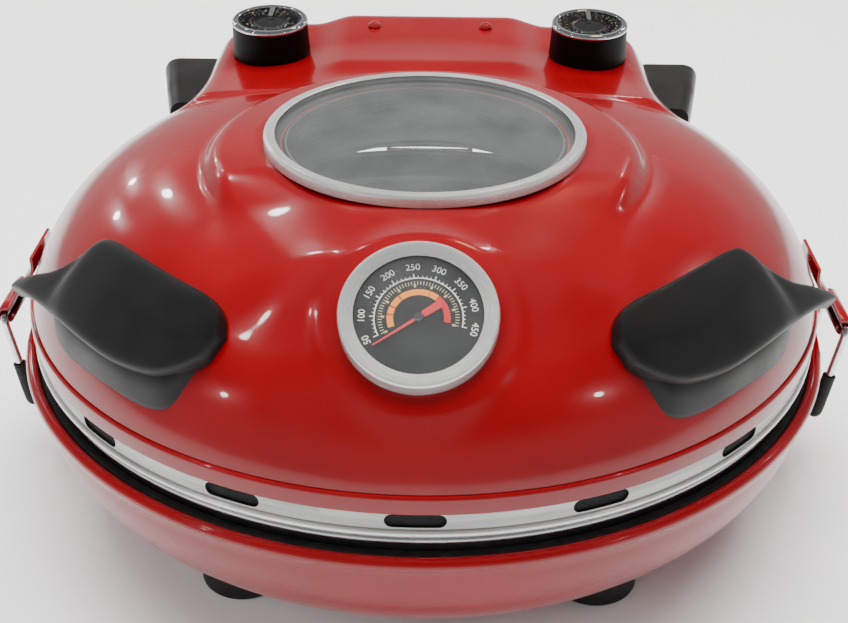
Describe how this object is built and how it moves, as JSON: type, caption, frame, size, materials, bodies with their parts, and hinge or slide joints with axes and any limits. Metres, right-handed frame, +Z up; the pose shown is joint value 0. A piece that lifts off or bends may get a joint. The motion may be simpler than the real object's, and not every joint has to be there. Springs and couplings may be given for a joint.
{
  "type": "countertop pizza oven",
  "caption": "Round countertop pizza oven with a hinged domed lid, glass window, temperature gauge, side handles, rear control knobs and a baking stone.",
  "frame": {"origin": "on the surface the oven stands on, below the centre of its bounding box, which lies 7.5 mm behind the bowl's axis", "axes": "+X to the oven's right seen from the front, +Y from the gauge towards the hinge, +Z up"},
  "size_m": [0.3888, 0.3728, 0.1769],
  "materials": {
    "red_paint": "glossy heat-resistant paint on pressed steel",
    "stainless": "bright rolled stainless sheet",
    "steel": "plain zinc-plated steel",
    "chrome": "polished chrome plate",
    "black_plastic": "satin moulded phenolic",
    "black_rubber": "matt black rubber",
    "stoneware": "unglazed cordierite",
    "clear_glass": "clear tempered glass",
    "dial_black": "matt black printed dial",
    "pointer_red": "satin red paint",
    "lamp_red": "clear dark red lens"
  },
  "bodies": {
    "base": {"base_shell": "red_paint", "bottom_plate": "steel", "foot_1": "black_rubber", "foot_2": "black_rubber", "foot_3": "black_rubber", "foot_4": "black_rubber", "rim_gasket": "black_rubber", "base_liner": "stainless", "lower_element": "steel", "lower_clip_1": "stainless", "lower_clip_2": "stainless", "lower_clip_3": "stainless", "hinge_base_bracket": "steel", "hinge_pin": "steel"},
    "stone": {"stone": "stoneware"},
    "lid": {"lid_shell": "red_paint", "lid_skirt": "stainless", "lid_liner": "stainless", "window_sleeve": "stainless", "upper_element": "steel", "upper_clip_1": "stainless", "upper_clip_2": "stainless", "upper_clip_3": "stainless", "window_gasket": "black_rubber", "window_glass": "clear_glass", "window_ring": "stainless", "gauge_bezel": "stainless", "gauge_case": "steel", "gauge_dial": "dial_black", "gauge_glass": "clear_glass", "gauge_nut": "steel", "handle_left_grip": "black_plastic", "handle_left_base": "black_plastic", "handle_right_grip": "black_plastic", "handle_right_base": "black_plastic", "stand_left": "black_plastic", "stand_right": "black_plastic", "thermostat_body": "steel", "timer_body": "steel", "lamp_left": "lamp_red", "lamp_right": "lamp_red", "rear_cover": "black_plastic", "cord_gland": "black_rubber", "hinge_lid_bracket": "steel", "latch_bracket_left": "red_paint", "latch_bracket_right": "red_paint"},
    "gauge_needle": {"gauge_pointer": "pointer_red"},
    "thermostat_control": {"thermostat_knob": "black_plastic", "thermostat_knob_ring": "chrome", "thermostat_knob_cap": "black_plastic", "thermostat_shaft": "steel"},
    "timer_control": {"timer_knob": "black_plastic", "timer_knob_ring": "chrome", "timer_knob_cap": "black_plastic", "timer_shaft": "steel"},
    "left_bail": {"latch_bail_left": "chrome", "latch_sleeve_left": "black_rubber"},
    "right_bail": {"latch_bail_right": "chrome", "latch_sleeve_right": "black_rubber"}
  },
  "joints": [
    {"name": "lid_hinge", "type": "hinge", "parent": "base", "child": "lid", "pos_m": [0, 0.1805, 0.084], "axis": [-1, 0, 0], "range_deg": [0, 100]},
    {"name": "stone_lift", "type": "slide", "parent": "base", "child": "stone", "axis": [0, 0, 1], "range_m": [0, 0.012]},
    {"name": "gauge_sweep", "type": "hinge", "parent": "lid", "child": "gauge_needle", "pos_m": [0, -0.1442, 0.1539], "axis": [0, 0.5592, -0.829], "range_deg": [0, 228]},
    {"name": "thermostat_turn", "type": "hinge", "parent": "lid", "child": "thermostat_control", "pos_m": [-0.0803, 0.1102, 0.157], "axis": [0, 0.0698, -0.9976], "range_deg": [0, 270]},
    {"name": "timer_turn", "type": "hinge", "parent": "lid", "child": "timer_control", "pos_m": [0.0803, 0.1102, 0.157], "axis": [0, 0.0698, -0.9976], "range_deg": [0, 300]},
    {"name": "left_bail_swing", "type": "hinge", "parent": "lid", "child": "left_bail", "pos_m": [-0.1902, -0.0075, 0.0775], "axis": [0, 1, 0], "range_deg": [0, 100]},
    {"name": "right_bail_swing", "type": "hinge", "parent": "lid", "child": "right_bail", "pos_m": [0.1902, -0.0075, 0.0775], "axis": [0, -1, 0], "range_deg": [0, 100]}
  ]
}
